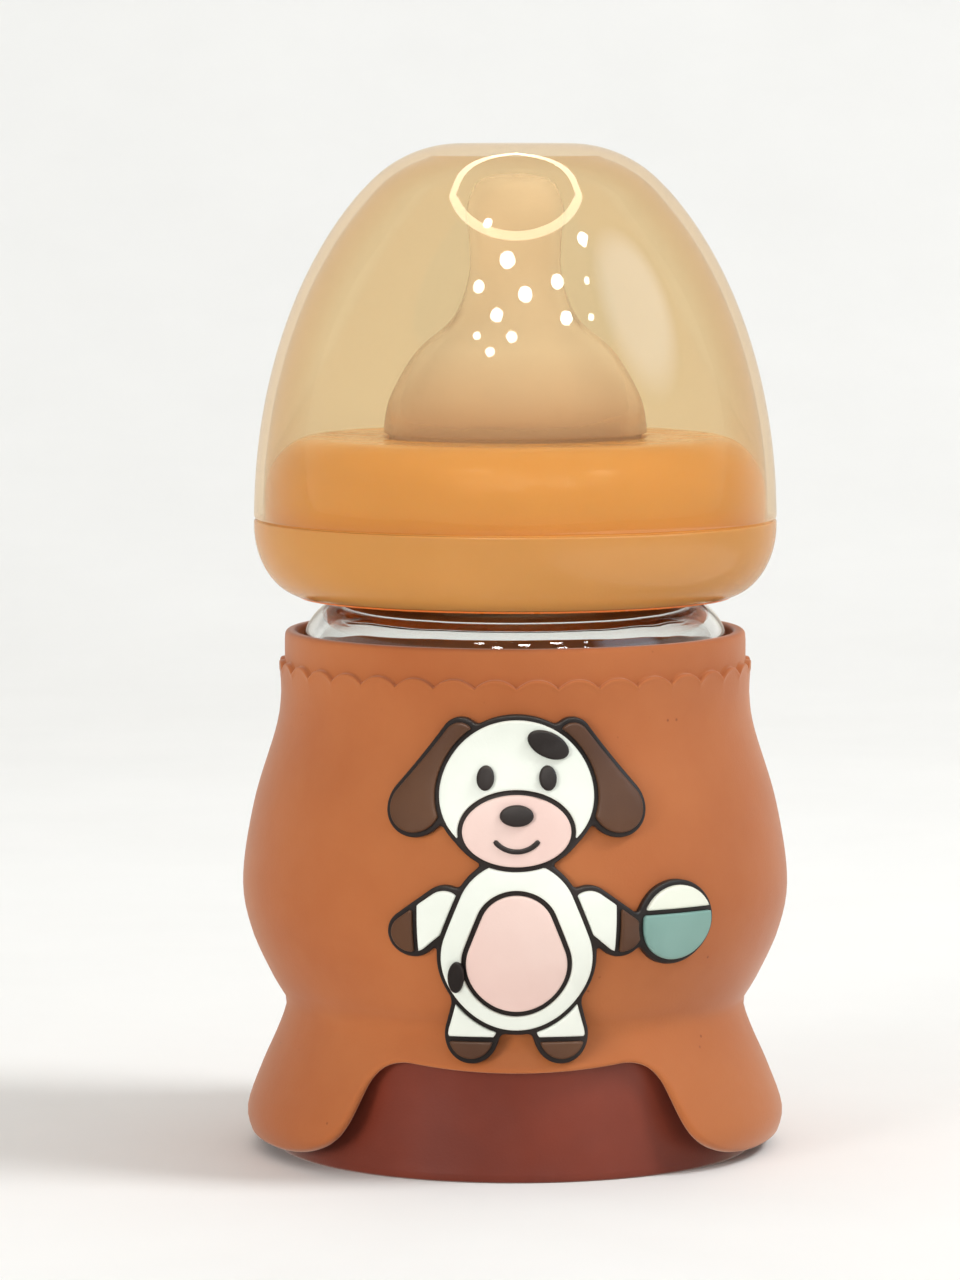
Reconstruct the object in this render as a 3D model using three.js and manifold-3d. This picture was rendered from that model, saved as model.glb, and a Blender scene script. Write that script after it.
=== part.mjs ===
// Wide-neck glass baby bottle: a glass body in a bulging silicone sleeve that stands on a suction base,
// a two-piece screw collar that clamps a silicone teat, a clear dome cap and a moulded puppy badge.
// Millimetres, +Z up. The origin is on the bottle's axis, at the surface it stands on; the badge faces -Y.

import * as THREE from "three";
import { TessellateModifier } from "three/addons/modifiers/TessellateModifier.js";
import { mergeVertices } from "three/addons/utils/BufferGeometryUtils.js";
import Module from "manifold-3d";

const wasm = await Module();
wasm.setup();

// ---------------------------------------------------------------- driving dimensions

const SEGMENTS = 36; // facets round every turned piece
const TEAT_SEGMENTS = 30;
const GAP = 0.3; // room between pieces that lie against each other

const BOTTLE_RADIUS = 31.8; // straight glass wall, outside
const BOTTLE_FOOT = 8; // height of the glass foot
const SHOULDER_RADIUS = 9;
const SHOULDER_Z = 73; // where the glass wall starts to turn in
const GLASS_WALL = 2.4;
const NECK_RADIUS = 25.6;
const MOUTH_RADIUS = 22.4;
const MOUTH_Z = 99;

const THREAD_PITCH = 4.5;
const THREAD_TURNS = 1.25;
const NECK_THREAD_TOP = 95;
const THREAD_LAG = 1.63; // how far the collar's thread lies below the bottle's

const COLLAR_RADIUS = 38.55;
const COLLAR_FOOT = 81.6;
const COLLAR_TOP = 105.2;
const COLLAR_SKIN = 1.8;
const SEAT_Z = 93; // ledge that the cap's rim lands on
const SEAT_RADIUS = 36.95;

const CAP_TOP = 148.2;
const CAP_HEIGHT = 59.6; // vertical half axis of the dome's ellipse
const CAP_WALL = 1.3;
const CAP_CROWN_WALL = 1.8;
const CROWN_RADIUS = 18.6; // rounding from the dome's side to its flat crown
const CROWN_FLAT = 8; // radius of the crown's flat

const TEAT_TIP = 143.8;
const FLANGE_RADIUS = 26.4;

const SLEEVE_TOP = 76.7;
const SLEEVE_BORE = BOTTLE_RADIUS + GAP;
const HEM_Z = 1.8; // lower edge of the sleeve's skirt
const BASE_RADIUS = 35.4;
const BASE_TOP = 17.2;

const BADGE_WRAP_RADIUS = 38; // arc on which the badge's flat drawing is laid out
const BADGE_PLATE_FRONT = 0.75; // plate thickness
const BADGE_RIM = 0.75; // how far the plate shows round the colours
const BADGE_LINE = 0.7; // black line between two colours
const BADGE_INLAY_FRONT = 1.45;
const BADGE_DETAIL_FRONT = 2.15;
const BADGE_SEAM = 0.25; // between one layer of the badge and the next
const BADGE_EDGE = 5; // longest triangle edge after the badge is curved

const COLOURS = {
  glass: 0xe6ecec,
  collar: 0xe0954e,
  cap: 0xdcb676,
  teat: 0xd9c6a8,
  sleeve: 0xbd7245,
  base: 0x7d3524,
  black: 0x1d1a19,
  white: 0xe6ebe2,
  pink: 0xe3c2ba,
  brown: 0x5b3a28,
  cream: 0xe9ecdf,
  teal: 0x7fa59c,
};

// ---------------------------------------------------------------- helpers

/** Points on an ellipse's arc, from one angle to another in degrees, as [radius, height] pairs. */
function arc(centreR, centreZ, halfR, halfZ, fromDeg, toDeg, steps) {
  const curve = new THREE.EllipseCurve(
    centreR,
    centreZ,
    halfR,
    halfZ,
    THREE.MathUtils.degToRad(fromDeg),
    THREE.MathUtils.degToRad(toDeg),
    toDeg < fromDeg,
  );
  return curve.getPoints(steps).map((p) => [p.x, p.y]);
}

/** A smooth line through [radius, height] pairs. */
function flowing(pairs, steps) {
  const curve = new THREE.SplineCurve(pairs.map(([r, z]) => new THREE.Vector2(r, z)));
  return curve.getPoints(steps).map((p) => [p.x, p.y]);
}

/** Turns a profile of [radius, height] pairs about +Z. Profiles run up the outside and down the inside. */
function turned(profile, segments = SEGMENTS) {
  const points = profile.map(([r, z]) => new THREE.Vector2(Math.max(r, 0), z));
  return new THREE.LatheGeometry(points, segments).rotateX(Math.PI / 2);
}

/** Turns a closed profile, whose last point joins its first. */
function turnedRing(profile, segments) {
  return turned([...profile, profile[0]], segments);
}

function toSolid(geometry) {
  const bare = geometry.clone();
  bare.deleteAttribute("normal");
  bare.deleteAttribute("uv");
  const merged = mergeVertices(bare, 1e-4);
  const mesh = new wasm.Mesh({
    numProp: 3,
    vertProperties: merged.attributes.position.array,
    triVerts: new Uint32Array(merged.index.array),
  });
  return new wasm.Manifold(mesh);
}

function toGeometry(solid) {
  const mesh = solid.getMesh();
  const geometry = new THREE.BufferGeometry();
  geometry.setAttribute("position", new THREE.BufferAttribute(new Float32Array(mesh.vertProperties), 3));
  geometry.setIndex(new THREE.BufferAttribute(new Uint32Array(mesh.triVerts), 1));
  return geometry;
}

/** Moves every vertex to where place(vertex) puts it. */
function bent(geometry, place) {
  const positions = geometry.attributes.position;
  const vertex = new THREE.Vector3();
  for (let i = 0; i < positions.count; i++) {
    vertex.fromBufferAttribute(positions, i);
    place(vertex);
    positions.setXYZ(i, vertex.x, vertex.y, vertex.z);
  }
  return geometry;
}

function piece(name, geometry, colour, finish = {}) {
  const material = new THREE.MeshStandardMaterial({ color: colour, roughness: 0.6, metalness: 0, ...finish });
  const mesh = new THREE.Mesh(geometry, material);
  mesh.name = name;
  return mesh;
}

/** A right-handed helical ridge. It stands out from root towards crest, and fades out at both ends. */
function threadRidge({ root, crest, embed, rootWidth, crestWidth, topZ }) {
  const outwards = Math.sign(crest - root);
  const section = new THREE.Shape(
    [
      [root - outwards * embed, -rootWidth / 2],
      [crest, -crestWidth / 2],
      [crest, crestWidth / 2],
      [root - outwards * embed, rootWidth / 2],
    ].map(([r, z]) => new THREE.Vector2(r, z)),
  );
  const sweep = THREAD_TURNS * 2 * Math.PI;
  const fade = Math.PI / 8;
  const ridge = new THREE.ExtrudeGeometry(section, {
    depth: sweep,
    steps: Math.round(THREAD_TURNS * SEGMENTS * 0.75),
    bevelEnabled: false,
  });
  return bent(ridge, (v) => {
    const angle = v.z;
    const share = Math.min(1, angle / fade, (sweep - angle) / fade);
    const standsOut = (v.x - root) * outwards > 0;
    const radius = standsOut ? root + (v.x - root) * Math.max(share, 0.05) : v.x;
    const z = topZ + v.y - (THREAD_PITCH * angle) / (2 * Math.PI);
    v.set(radius * Math.cos(-angle), radius * Math.sin(-angle), z);
  });
}

// ---------------------------------------------------------------- glass bottle

function glassBottle() {
  const inner = BOTTLE_RADIUS - GLASS_WALL;
  const shoulderR = BOTTLE_RADIUS - SHOULDER_RADIUS;
  const body = turned([
    [0, BOTTLE_FOOT + 1.4],
    [21, BOTTLE_FOOT + 0.8],
    [24, BOTTLE_FOOT],
    ...arc(BOTTLE_RADIUS - 5, BOTTLE_FOOT + 5, 5, 5, -90, 0, 4),
    ...arc(shoulderR, SHOULDER_Z, SHOULDER_RADIUS, SHOULDER_RADIUS, 0, 68, 5),
    [NECK_RADIUS, 82.6],
    [NECK_RADIUS, MOUTH_Z - 0.6],
    [NECK_RADIUS - 0.6, MOUTH_Z],
    [MOUTH_RADIUS + 0.6, MOUTH_Z],
    [MOUTH_RADIUS, MOUTH_Z - 0.6],
    [MOUTH_RADIUS, 82.2],
    ...arc(shoulderR, SHOULDER_Z, inner - shoulderR, inner - shoulderR, 74, 0, 4),
    ...arc(inner - 4.5, BOTTLE_FOOT + 7.6, 4.5, 4.5, 0, -90, 4),
    [0, BOTTLE_FOOT + 4],
  ]);
  const ridge = threadRidge({
    root: NECK_RADIUS,
    crest: 27.1,
    embed: 0.5,
    rootWidth: 2.4,
    crestWidth: 1,
    topZ: NECK_THREAD_TOP,
  });
  return toGeometry(toSolid(body).add(toSolid(ridge)));
}

// ---------------------------------------------------------------- screw collar

function collarShell() {
  const lowerR = 30.6;
  const lowerZ = 92.2;
  const lowerHalfR = COLLAR_RADIUS - lowerR;
  const lowerHalfZ = lowerZ - COLLAR_FOOT;
  const upperR = 29.4;
  const upperZ = 96.4;
  const upperHalfR = SEAT_RADIUS - upperR;
  const upperHalfZ = COLLAR_TOP - upperZ;
  return turnedRing([
    ...arc(lowerR, lowerZ, lowerHalfR, lowerHalfZ, -76, 0, 6),
    [COLLAR_RADIUS, SEAT_Z],
    [SEAT_RADIUS, SEAT_Z],
    ...arc(upperR, upperZ, upperHalfR, upperHalfZ, 0, 90, 5),
    [19.6, COLLAR_TOP],
    [19.1, COLLAR_TOP - 0.5],
    [19.1, COLLAR_TOP - 2],
    [21.5, COLLAR_TOP - 2],
    [21.5, 101.3],
    [26.6, 101.3],
    [26.9, COLLAR_TOP - COLLAR_SKIN],
    ...arc(upperR, upperZ, upperHalfR - COLLAR_SKIN, upperHalfZ - COLLAR_SKIN, 90, 0, 4),
    ...arc(lowerR, lowerZ, lowerHalfR - COLLAR_SKIN, lowerHalfZ - COLLAR_SKIN, -10, -72, 4),
  ]);
}

function collarThreadRing() {
  const bore = 27.4;
  const wall = 1.6;
  const body = turnedRing([
    [bore + 0.4, COLLAR_FOOT],
    [32.25, COLLAR_FOOT],
    [32.25, COLLAR_FOOT + 1.5],
    [bore + wall + 0.6, COLLAR_FOOT + 1.9],
    [bore + wall, COLLAR_FOOT + 2.6],
    [bore + wall, COLLAR_TOP - COLLAR_SKIN - GAP],
    [bore, COLLAR_TOP - COLLAR_SKIN - GAP],
    [bore, COLLAR_FOOT + 0.4],
  ]);
  const ridge = threadRidge({
    root: bore,
    crest: 26.15,
    embed: 0.5,
    rootWidth: 2.1,
    crestWidth: 0.9,
    topZ: NECK_THREAD_TOP - THREAD_LAG,
  });
  return toGeometry(toSolid(body).add(toSolid(ridge)));
}

// ---------------------------------------------------------------- teat

function teat() {
  const orifice = 0.5;
  const outside = flowing(
    [
      [19.4, 106.6],
      [18.4, 111.1],
      [14.6, 117.6],
      [9.2, 122.6],
      [6.9, 128.6],
      [6.8, 134],
      [7.2, 138.4],
      [5.6, 142.5],
      [orifice, TEAT_TIP],
    ],
    14,
  );
  const inside = flowing(
    [
      [orifice, TEAT_TIP - 1.7],
      [3.9, 141.2],
      [5.4, 138.2],
      [5.2, 133],
      [5.4, 127.8],
      [8.0, 121.2],
      [12.9, 116.2],
      [16.5, 110.2],
      [16.4, 103.6],
      [17.6, MOUTH_Z + 0.15],
    ],
    10,
  );
  return turnedRing(
    [
      [FLANGE_RADIUS, MOUTH_Z + 0.15],
      [FLANGE_RADIUS, 101],
      [20.9, 101],
      [18.6, 102.6],
      [18.6, COLLAR_TOP + 0.2],
      [19.35, COLLAR_TOP + 0.5],
      ...outside,
      ...inside,
    ],
    TEAT_SEGMENTS,
  );
}

// ---------------------------------------------------------------- dome cap

function domeCap() {
  const rimZ = SEAT_Z + 0.2;
  const innerR = COLLAR_RADIUS - CAP_WALL;
  const innerHeight = CAP_HEIGHT - CAP_CROWN_WALL;
  const crownZ = CAP_TOP - CROWN_RADIUS;
  const innerCrown = CROWN_RADIUS - CAP_WALL - 0.1;
  return turned([
    [0, CAP_TOP - CAP_CROWN_WALL],
    [12.4, CAP_TOP - CAP_CROWN_WALL],
    ...arc(CROWN_FLAT, crownZ, innerCrown, innerCrown, 74, 41, 3),
    ...arc(0, SEAT_Z, innerR, innerHeight, 54, 2, 7),
    [innerR, rimZ],
    [COLLAR_RADIUS, rimZ],
    ...arc(0, SEAT_Z, COLLAR_RADIUS, CAP_HEIGHT, 2, 54, 8),
    ...arc(CROWN_FLAT, crownZ, CROWN_RADIUS, CROWN_RADIUS, 43, 90, 4),
    [0, CAP_TOP],
  ]);
}

// ---------------------------------------------------------------- sleeve and suction base

const SLEEVE_OUTSIDE = [
  [38.9, HEM_Z],
  [39.75, 5.6],
  [37.7, 11.6],
  [34.9, 18],
  [33.95, 21.8],
  [35.85, 25.2],
  [39.1, 32.4],
  [40.35, 40],
  [38.6, 51.4],
  [35.4, 62],
  [34.65, 67],
  [34.75, 71.2],
];

/** The two openings between the sleeve's feet, as one bar along Y through its front and back. */
function archCutter() {
  const arch = new THREE.Shape();
  arch.moveTo(-35, -1);
  arch.lineTo(-35, HEM_Z);
  arch.bezierCurveTo(-26, 2.2, -24.6, 8.6, -22, 13);
  arch.bezierCurveTo(-20.2, 15.9, -18.2, 16.9, -15.5, 16.8);
  arch.bezierCurveTo(-10, 15.6, 10, 15.6, 15.5, 16.8);
  arch.bezierCurveTo(18.2, 16.9, 20.2, 15.9, 22, 13);
  arch.bezierCurveTo(24.6, 8.6, 26, 2.2, 35, HEM_Z);
  arch.lineTo(35, -1);
  const depth = 100;
  return new THREE.ExtrudeGeometry(arch, { depth, bevelEnabled: false, curveSegments: 5 })
    .rotateX(Math.PI / 2)
    .translate(0, depth / 2, 0);
}

function sleeve() {
  const wall = 2.1;
  const shell = turnedRing([
    ...flowing(SLEEVE_OUTSIDE, 17),
    [34.15, 71.8],
    [33.95, SLEEVE_TOP - 0.4],
    [33.55, SLEEVE_TOP],
    [SLEEVE_BORE, SLEEVE_TOP],
    [SLEEVE_BORE, 65],
    ...flowing(
      [
        [35.4 - wall, 60.6],
        [38.6 - wall, 50.4],
        [40.35 - wall, 40],
        [39.1 - wall, 33],
        [33.9, 26.4],
        [SLEEVE_BORE + 0.1, 22.4],
        [33.75, 17.8],
        [35.6, 12.4],
        [37.5, 6.4],
        [37.3, HEM_Z],
      ],
      11,
    ),
  ]);
  return toGeometry(toSolid(shell).subtract(toSolid(archCutter())));
}

/** The cup under the bottle. Its flared skirt stands on a flat rim and its underside is hollow. */
function suctionBase() {
  const cup = BOTTLE_RADIUS + 0.25;
  return turned([
    [0, 5.6],
    [25, 5.2],
    [30.4, 3],
    [32.6, 0],
    [BASE_RADIUS - 0.2, 0],
    [BASE_RADIUS, 0.7],
    ...flowing(
      [
        [34.9, 3.2],
        [34.3, 7.4],
        [33.7, 12],
        [33.35, BASE_TOP],
      ],
      4,
    ),
    [cup, BASE_TOP],
    ...arc(cup - 5, BOTTLE_FOOT + 4.75, 5, 5, 0, -90, 4),
    [0, BOTTLE_FOOT - 0.25],
  ]);
}

// ---------------------------------------------------------------- badge

/** The badge's own back, which lies on the sleeve and bridges its waist. */
const BADGE_BACK = new THREE.SplineCurve(
  [
    [35.9, 16],
    [35.6, 21.6],
    [36.6, 25.8],
    [39.4, 32.4],
    [40.6, 40],
    [38.95, 51.4],
    [35.75, 62],
    [35.15, 67],
    [35.15, 70],
  ].map(([r, z]) => new THREE.Vector2(r, z)),
);
const BADGE_BACK_POINTS = BADGE_BACK.getPoints(200);

function badgeBackRadius(z) {
  const above = BADGE_BACK_POINTS.findIndex((p) => p.y >= z);
  if (above <= 0) return BADGE_BACK_POINTS.at(above).x;
  const [low, high] = [BADGE_BACK_POINTS[above - 1], BADGE_BACK_POINTS[above]];
  return THREE.MathUtils.lerp(low.x, high.x, (z - low.y) / (high.y - low.y));
}

/** Curves a flat drawing, with x across, y up and z outwards, round the front of the sleeve. */
function wrapped(flat) {
  const longest = new TessellateModifier(BADGE_EDGE, 12).modify(flat.toNonIndexed());
  return bent(longest, (v) => {
    const angle = v.x / BADGE_WRAP_RADIUS;
    const radius = badgeBackRadius(v.y) + v.z;
    v.set(radius * Math.sin(angle), -radius * Math.cos(angle), v.y);
  });
}

/** An oval, as {x, z, a, b, tilt}: its centre, half width, half height and tilt in degrees. */
function oval({ x, z, a, b, tilt = 0 }, grow = 0) {
  const shape = new THREE.Shape();
  shape.absellipse(x, z, a + grow, b + grow, 0, 2 * Math.PI, false, THREE.MathUtils.degToRad(tilt));
  return shape;
}

/** A bar with round ends, as {from, to, r}, or with a second radius at its far end. */
function bar({ from, to, r, farR = r }, grow = 0) {
  const along = new THREE.Vector2(to[0] - from[0], to[1] - from[1]);
  const angle = along.angle();
  const lean = Math.asin((r - farR) / along.length());
  const quarter = Math.PI / 2;
  const shape = new THREE.Shape();
  const turn = quarter - lean;
  shape.absarc(from[0], from[1], r + grow, angle + turn, angle - turn + 2 * Math.PI, false);
  shape.absarc(to[0], to[1], farR + grow, angle - turn, angle + turn, false);
  shape.closePath();
  return shape;
}

const mirrored = (o) => ({
  ...o,
  ...(o.from
    ? { from: [-o.from[0], o.from[1]], to: [-o.to[0], o.to[1]] }
    : { x: -o.x, tilt: -(o.tilt ?? 0) }),
});

const HEAD = { x: 0, z: 57, a: 11, b: 9.8 };
const MUZZLE = { x: 0, z: 51.4, a: 7.4, b: 5 };
const NOSE = { x: 0, z: 53.6, a: 2.3, b: 1.5 };
const MOUTH = { x: 0, z: 52.2, r: 3.6, width: 0.7, halfAngle: 50 };
const EAR = { from: [8.6, 64], to: [14.4, 54.6], r: 2.4, farR: 3.7 };
const EYE = { x: 4.4, z: 58.8, a: 1.25, b: 1.75 };
const HEAD_SPOT = { x: 4.6, z: 63.4, a: 3.2, b: 1.8, tilt: -24 };
const BODY = { from: [0, 39.4], to: [0, 32.6], r: 7.8, farR: 10.2 };
const BELLY = { from: [0, 37.6], to: [0, 32], r: 4.8, farR: 6.8 };
const SIDE_SPOT = { x: -8.2, z: 30.4, a: 1.1, b: 2.4, tilt: -8 };
const ARM = { from: [9.6, 40.4], to: [14.2, 36.6], r: 2.5, farR: 2.7 };
const CUFF_X = 13.2; // where an arm turns into its paw
const LEG = { from: [5.6, 25], to: [6.8, 21.6], r: 3.4 };
const CUFF_Z = 21.4; // where a leg turns into its paw
const BALL = { x: 22.5, z: 37.6, a: 5.4, b: 5.4 };
const BALL_LINE_Z = 39; // where the ball's two colours meet
const FAR = 90; // beyond the whole badge

function box(left, right, low, high) {
  return new THREE.Shape([
    new THREE.Vector2(left, low),
    new THREE.Vector2(right, low),
    new THREE.Vector2(right, high),
    new THREE.Vector2(left, high),
  ]);
}

/** A smile: a curved stroke with square ends. */
function smile({ x, z, r, width, halfAngle }) {
  const half = THREE.MathUtils.degToRad(halfAngle);
  const shape = new THREE.Shape();
  shape.absarc(x, z, r + width / 2, -Math.PI / 2 - half, -Math.PI / 2 + half, false);
  shape.absarc(x, z, r - width / 2, -Math.PI / 2 + half, -Math.PI / 2 - half, true);
  shape.closePath();
  return shape;
}

function flatSolid(shape, back, front, curveSegments = 5) {
  const slab = new THREE.ExtrudeGeometry(shape, { depth: front - back, bevelEnabled: false, curveSegments });
  return toSolid(slab.translate(0, 0, back));
}

/** One raised colour of the badge. It is trimmed by the shapes that lie in the same layer. */
function inlay(shape, cuts = [], back = BADGE_PLATE_FRONT + BADGE_SEAM, front = BADGE_INLAY_FRONT) {
  let solid = flatSolid(shape, back, front);
  for (const cut of cuts) solid = solid.subtract(flatSolid(cut, back - 1, front + 1));
  return wrapped(toGeometry(solid));
}

/** One small colour on top of another. */
const detail = (shape) => inlay(shape, [], BADGE_INLAY_FRONT + BADGE_SEAM, BADGE_DETAIL_FRONT);

function badgePlate() {
  const bars = [EAR, ARM, LEG].flatMap((o) => [o, mirrored(o)]);
  const outlines = [
    ...[HEAD, MUZZLE, BALL].map((o) => oval(o, BADGE_RIM)),
    ...[BODY, ...bars].map((o) => bar(o, BADGE_RIM)),
  ];
  const slabs = outlines.map((shape) => flatSolid(shape, 0, BADGE_PLATE_FRONT, 4));
  return wrapped(toGeometry(slabs.reduce((all, slab) => all.add(slab))));
}

/** The pieces that the badge has once. */
function middlePieces() {
  const chin = [oval(MUZZLE, BADGE_LINE), oval(HEAD, BADGE_LINE)];
  return {
    plate: [badgePlate(), COLOURS.black],
    head: [inlay(oval(HEAD), [oval(MUZZLE, BADGE_LINE)]), COLOURS.white],
    head_spot: [detail(oval(HEAD_SPOT)), COLOURS.black],
    muzzle: [inlay(oval(MUZZLE)), COLOURS.pink],
    nose: [detail(oval(NOSE)), COLOURS.black],
    mouth: [detail(smile(MOUTH)), COLOURS.black],
    body: [inlay(bar(BODY), [...chin, bar(BELLY, BADGE_LINE)]), COLOURS.white],
    belly: [inlay(bar(BELLY), chin), COLOURS.pink],
    side_spot: [detail(oval(SIDE_SPOT)), COLOURS.black],
    ball_lower: [inlay(oval(BALL), [box(0, FAR, BALL_LINE_Z, FAR)]), COLOURS.teal],
    ball_upper: [inlay(oval(BALL), [box(0, FAR, 0, BALL_LINE_Z + BADGE_LINE)]), COLOURS.cream],
  };
}

/** The pieces that the badge has on both sides, drawn for the side with the ball. */
function sidePieces(handCuts) {
  const head = oval(HEAD, BADGE_LINE);
  const body = bar(BODY, BADGE_LINE);
  return {
    ear: [inlay(bar(EAR), [head]), COLOURS.brown],
    eye: [detail(oval(EYE)), COLOURS.black],
    arm: [inlay(bar(ARM), [body, box(CUFF_X, FAR, 0, FAR)]), COLOURS.white],
    hand_paw: [inlay(bar(ARM), [box(0, CUFF_X + BADGE_LINE, 0, FAR), ...handCuts]), COLOURS.brown],
    leg: [inlay(bar(LEG), [body, box(0, FAR, 0, CUFF_Z)]), COLOURS.white],
    foot_paw: [inlay(bar(LEG), [box(0, FAR, CUFF_Z - BADGE_LINE, FAR)]), COLOURS.brown],
  };
}

function badge() {
  const group = new THREE.Group();
  const add = (name, [geometry, colour], mirror = 1) => {
    const mesh = piece(`badge_${name}`, geometry, colour, { roughness: 0.45 });
    mesh.scale.x = mirror;
    group.add(mesh);
  };
  const ball = oval(BALL, BADGE_LINE);
  for (const [name, made] of Object.entries(middlePieces())) add(name, made);
  for (const [name, made] of Object.entries(sidePieces([ball]))) add(`${name}_right`, made);
  for (const [name, made] of Object.entries(sidePieces([]))) add(`${name}_left`, made, -1);
  return group;
}

// ---------------------------------------------------------------- assembly

const bottle = new THREE.Group();
bottle.add(
  piece("glass_bottle", glassBottle(), COLOURS.glass, { roughness: 0.03, transparent: true, opacity: 0.35 }),
  piece("silicone_teat", teat(), COLOURS.teat, { roughness: 0.4, transparent: true, opacity: 0.7 }),
  piece("collar_shell", collarShell(), COLOURS.collar, { roughness: 0.42 }),
  piece("collar_thread_ring", collarThreadRing(), COLOURS.collar, { roughness: 0.5 }),
  piece("dome_cap", domeCap(), COLOURS.cap, { roughness: 0.06, transparent: true, opacity: 0.5 }),
  piece("silicone_sleeve", sleeve(), COLOURS.sleeve, { roughness: 0.75 }),
  piece("suction_base", suctionBase(), COLOURS.base, { roughness: 0.6 }),
  badge(),
);

export default bottle;
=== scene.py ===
import math

import bmesh
import bpy
import numpy as np
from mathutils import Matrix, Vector, geometry


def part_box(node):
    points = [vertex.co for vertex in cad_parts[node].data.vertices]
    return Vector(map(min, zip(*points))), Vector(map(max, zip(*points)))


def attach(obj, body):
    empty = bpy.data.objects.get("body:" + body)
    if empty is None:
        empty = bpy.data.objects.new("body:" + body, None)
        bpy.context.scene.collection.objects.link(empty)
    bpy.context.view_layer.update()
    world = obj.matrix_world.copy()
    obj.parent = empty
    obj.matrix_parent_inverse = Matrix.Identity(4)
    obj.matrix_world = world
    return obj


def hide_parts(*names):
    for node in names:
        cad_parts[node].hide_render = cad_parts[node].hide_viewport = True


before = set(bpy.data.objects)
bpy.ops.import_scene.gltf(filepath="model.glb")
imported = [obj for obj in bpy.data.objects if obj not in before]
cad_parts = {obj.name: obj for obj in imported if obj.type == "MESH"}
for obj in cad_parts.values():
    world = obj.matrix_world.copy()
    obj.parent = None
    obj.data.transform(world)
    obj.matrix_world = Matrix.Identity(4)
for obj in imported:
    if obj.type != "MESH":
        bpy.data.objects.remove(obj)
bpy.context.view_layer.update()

# Outlines are in millimetres, as in the CAD. Blender's objects are in metres, so meshes are scaled
# by MM.
MM = 0.001

SEGMENTS = 192  # columns round every turned piece


# ---------------------------------------------------------------- camera

CAMERA_AWAY = 0.882  # from the bottle's axis
CAMERA_HEIGHT = 0.156
CAMERA_SIDE = -0.0052
CAMERA_PITCH = 5.25  # degrees below the horizon
CAMERA_LENS = 168.4


def add_camera():
    data = bpy.data.cameras.new("camera")
    data.lens = CAMERA_LENS
    data.sensor_width = 36
    data.clip_start = 0.05
    camera = bpy.data.objects.new("camera", data)
    camera.location = (CAMERA_SIDE, -CAMERA_AWAY, CAMERA_HEIGHT)
    camera.rotation_euler = (math.radians(90 - CAMERA_PITCH), 0, 0)
    bpy.context.scene.collection.objects.link(camera)
    bpy.context.scene.camera = camera


add_camera()
bpy.context.scene.view_settings.view_transform = "Standard"


# ---------------------------------------------------------------- outlines


def node_size(name):
    """The radius, foot and top of a turned CAD node, in millimetres."""
    low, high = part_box(name)
    return high.x / MM, low.z / MM, high.z / MM


def arc(centre_r, centre_z, half_r, half_z, start, end, steps=16):
    """Points on an ellipse's arc between two angles in degrees, as (radius, height) pairs."""
    angles = np.radians(np.linspace(start, end, steps + 1))
    return [(centre_r + half_r * math.cos(a), centre_z + half_z * math.sin(a)) for a in angles]


def flowing(points, steps=8):
    """A smooth line through points, with that many steps from each point to the next."""
    p = np.array([points[0], *points, points[-1]], float)
    line = []
    for a, b, c, d in zip(p, p[1:], p[2:], p[3:]):
        for t in np.linspace(0, 1, steps, endpoint=False):
            square = 2 * a - 5 * b + 4 * c - d
            cube = 3 * b - a - 3 * c + d
            line.append(0.5 * (2 * b + (c - a) * t + square * t**2 + cube * t**3))
    return [tuple(q) for q in [*line, p[-1]]]


def filleted(corners, steps=5):
    """A line through (radius, height, fillet) corners, rounded by those fillets. Its ends stay sharp."""
    line = [corners[0][:2]]
    for before, here, after in zip(corners, corners[1:], corners[2:]):
        at, fillet = Vector(here[:2]), here[2]
        to_before = (Vector(before[:2]) - at).normalized()
        to_after = (Vector(after[:2]) - at).normalized()
        half = to_before.angle(to_after) / 2
        if fillet == 0 or half > math.radians(89):
            line.append(tuple(at))
            continue
        centre = at + (to_before + to_after).normalized() * fillet / math.sin(half)
        first = at + to_before * fillet / math.tan(half) - centre
        last = at + to_after * fillet / math.tan(half) - centre
        for t in np.linspace(0, 1, steps + 1):
            line.append(tuple(centre + first.slerp(last, t) * fillet))
    return [*line, corners[-1][:2]]


def reading(line):
    """The radius of an outline, given as (radius, height) pairs, at any height."""
    r, z = np.array(sorted(line, key=lambda p: p[1])).T
    return lambda height: np.interp(height, z, r)


# ---------------------------------------------------------------- meshes


def new_object(name, points, faces):
    """A smooth mesh object from points in millimetres."""
    mesh = bpy.data.meshes.new(name)
    mesh.from_pydata((np.asarray(points) * MM).tolist(), [], faces)
    bm = bmesh.new()
    bm.from_mesh(mesh)
    bmesh.ops.remove_doubles(bm, verts=bm.verts, dist=1e-7)
    bmesh.ops.recalc_face_normals(bm, faces=bm.faces)
    for face in bm.faces:
        face.smooth = True
    bm.to_mesh(mesh)
    bm.free()
    piece = bpy.data.objects.new(name, mesh)
    bpy.context.scene.collection.objects.link(piece)
    return piece


def skinned(name, rings, closed):
    """A skin over rings of points. A closed one joins its last ring to its first."""
    rings = np.asarray(rings)
    count, columns = rings.shape[:2]
    here = np.arange(count * columns).reshape(count, columns)
    beside = np.roll(here, -1, axis=1)
    faces = np.stack([here, beside, np.roll(beside, -1, axis=0), np.roll(here, -1, axis=0)], axis=-1)
    if not closed:
        faces = faces[:-1]
    return new_object(name, rings.reshape(-1, 3), faces.reshape(-1, 4).tolist())


def on_bottle(angle, radius, height):
    """Points at an angle from the front, positive to the picture's right, at a radius and a height."""
    angle, radius, height = np.broadcast_arrays(angle, radius, height)
    return np.stack([radius * np.sin(angle), -radius * np.cos(angle), height], axis=-1)


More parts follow.
